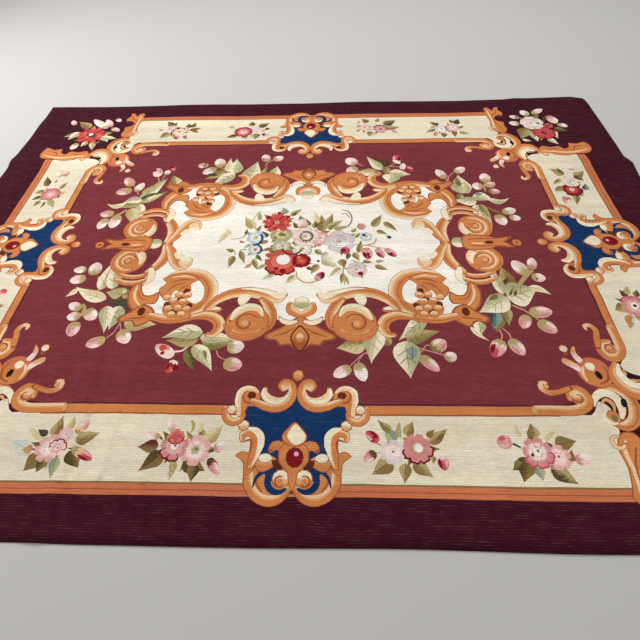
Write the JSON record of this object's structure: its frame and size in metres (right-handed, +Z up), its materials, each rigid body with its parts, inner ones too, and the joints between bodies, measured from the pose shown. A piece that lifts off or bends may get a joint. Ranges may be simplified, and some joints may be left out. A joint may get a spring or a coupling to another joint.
{
  "type": "aubusson rug",
  "caption": "Flat-woven wool tapestry rug with a shaped floral medallion, scroll frames and a cartouche border, laid flat with a few soft folds.",
  "frame": {"origin": "on the floor, at the underside of the rug, below the middle of the woven medallion", "axes": "+X along the long side, +Y across the rug towards the far long side, +Z up out of the pattern face"},
  "size_m": [4.0308, 3.0166, 0.0148],
  "materials": {
    "tapestry": "matt ribbed wool weave"
  },
  "bodies": {
    "root": {"rug": "tapestry"}
  },
  "joints": []
}
